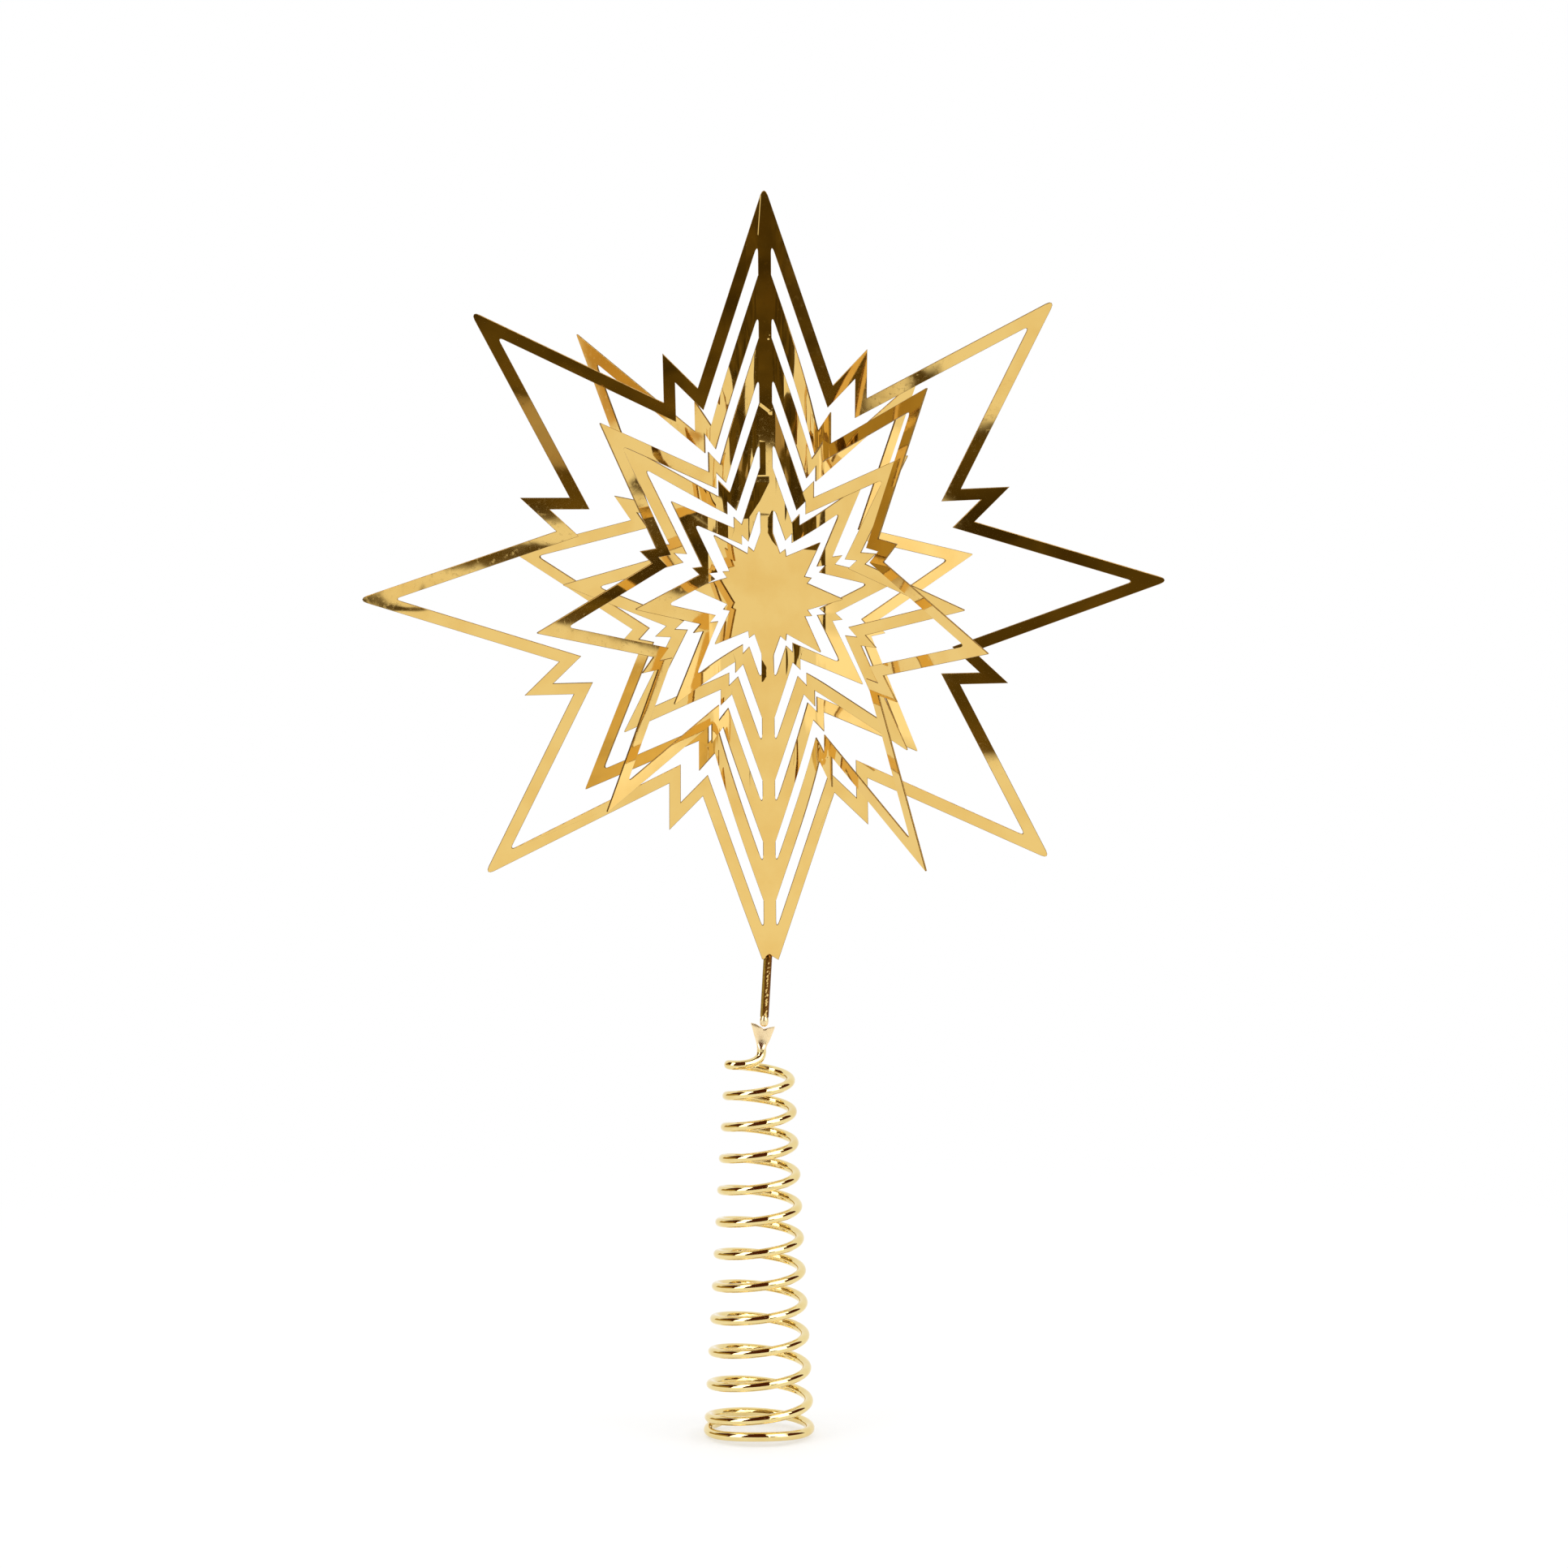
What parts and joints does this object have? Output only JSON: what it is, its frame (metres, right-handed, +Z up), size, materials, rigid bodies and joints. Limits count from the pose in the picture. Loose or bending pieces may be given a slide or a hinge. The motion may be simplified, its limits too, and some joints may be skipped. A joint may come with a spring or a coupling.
{
  "type": "christmas tree topper star",
  "caption": "Tree topper of nested eight-pointed stars cut from thin gold sheet, half rings bent out either side of an upright spine, on a short stem over a conical wire coil.",
  "frame": {"origin": "middle of the coil's open mouth, where the tree's leading shoot enters", "axes": "+Z up along the coil towards the star, -Y the front that faces the viewer, +X to the viewer's right"},
  "size_m": [0.1759, 0.0975, 0.2783],
  "materials": {
    "polished_sheet": "mirror-polished gold-coloured sheet",
    "rolled_stem": "rolled sheet tube, duller and scuffed, with an open seam",
    "solder_bead": "bright rounded bead",
    "clip_sheet": "polished gold, tinned where it is joined",
    "coil_wire": "bright drawn round wire"
  },
  "bodies": {
    "topper_frame": {"star_frame": "polished_sheet", "stem_tube": "rolled_stem", "solder_bead": "solder_bead", "fishtail_clip": "clip_sheet", "coil": "coil_wire"},
    "centre_star": {"centre_star": "polished_sheet"},
    "ring2_left": {"ring2_left": "polished_sheet"},
    "ring2_right": {"ring2_right": "polished_sheet"},
    "ring3_left": {"ring3_left": "polished_sheet"},
    "ring3_right": {"ring3_right": "polished_sheet"},
    "ring4_left": {"ring4_left": "polished_sheet"},
    "ring4_right": {"ring4_right": "polished_sheet"},
    "ring5_left": {"ring5_left": "polished_sheet"},
    "ring5_right": {"ring5_right": "polished_sheet"}
  },
  "joints": [
    {"name": "ring2_left_bend", "type": "hinge", "parent": "topper_frame", "child": "ring2_left", "pos_m": [0.00052, -0.0167, 0.19154], "axis": [-0.007, -0.184, 0.9829], "range_deg": [-40, 40]},
    {"name": "ring2_right_bend", "type": "hinge", "parent": "topper_frame", "child": "ring2_right", "pos_m": [0.00331, -0.01651, 0.19159], "axis": [-0.007, -0.184, 0.9829], "range_deg": [-25.4, 54.6]},
    {"name": "ring3_left_bend", "type": "hinge", "parent": "topper_frame", "child": "ring3_left", "pos_m": [0.00052, -0.0167, 0.19154], "axis": [-0.007, -0.184, 0.9829], "range_deg": [-31, 49]},
    {"name": "ring3_right_bend", "type": "hinge", "parent": "topper_frame", "child": "ring3_right", "pos_m": [0.00331, -0.01651, 0.19159], "axis": [-0.007, -0.184, 0.9829], "range_deg": [-34.7, 45.3]},
    {"name": "ring4_left_bend", "type": "hinge", "parent": "topper_frame", "child": "ring4_left", "pos_m": [0.00052, -0.0167, 0.19154], "axis": [-0.007, -0.184, 0.9829], "range_deg": [-66, 14]},
    {"name": "ring4_right_bend", "type": "hinge", "parent": "topper_frame", "child": "ring4_right", "pos_m": [0.00331, -0.01651, 0.19159], "axis": [-0.007, -0.184, 0.9829], "range_deg": [-54.9, 25.1]},
    {"name": "ring5_left_bend", "type": "hinge", "parent": "topper_frame", "child": "ring5_left", "pos_m": [0.00052, -0.0167, 0.19154], "axis": [-0.007, -0.184, 0.9829], "range_deg": [-23.7, 56.3]},
    {"name": "ring5_right_bend", "type": "hinge", "parent": "topper_frame", "child": "ring5_right", "pos_m": [0.00331, -0.01651, 0.19159], "axis": [-0.007, -0.184, 0.9829], "range_deg": [-19.9, 60.1]},
    {"name": "centre_star_turn", "type": "hinge", "parent": "topper_frame", "child": "centre_star", "pos_m": [0.00192, -0.01661, 0.19156], "axis": [-0.007, -0.184, 0.9829], "range_deg": [-37.2, 82.8]}
  ]
}
